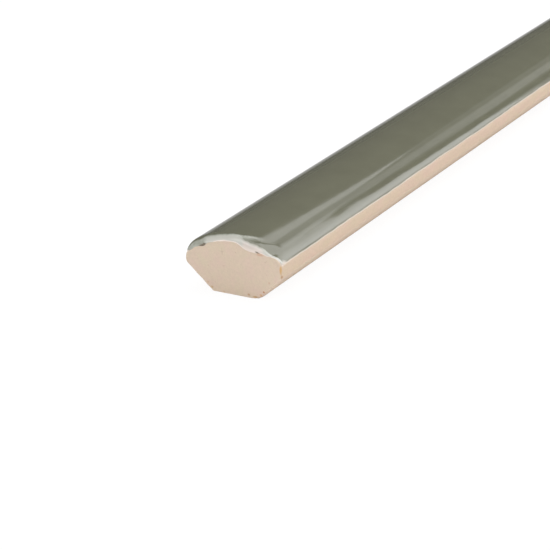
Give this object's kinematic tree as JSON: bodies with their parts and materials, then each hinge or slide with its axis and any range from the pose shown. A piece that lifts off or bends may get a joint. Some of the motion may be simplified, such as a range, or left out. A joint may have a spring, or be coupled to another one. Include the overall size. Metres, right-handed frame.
{
  "type": "bullnose tile",
  "caption": "Narrow glazed bullnose trim tile: domed grey-green glazed face over a bare clay body with sloping undersides and a flat back.",
  "frame": {"origin": "middle of the flat back, on the surface that the tile lies on", "axes": "+X along the tile, +Y across it, +Z out of the glazed face"},
  "size_m": [0.2, 0.02, 0.0112],
  "materials": {
    "glaze": "glossy olive grey-green glaze, thin and paler at its edges",
    "clay": "matt bare fired clay, warm buff with faint pink mottling"
  },
  "bodies": {
    "root": {"bullnose_tile": "glaze"}
  },
  "joints": []
}
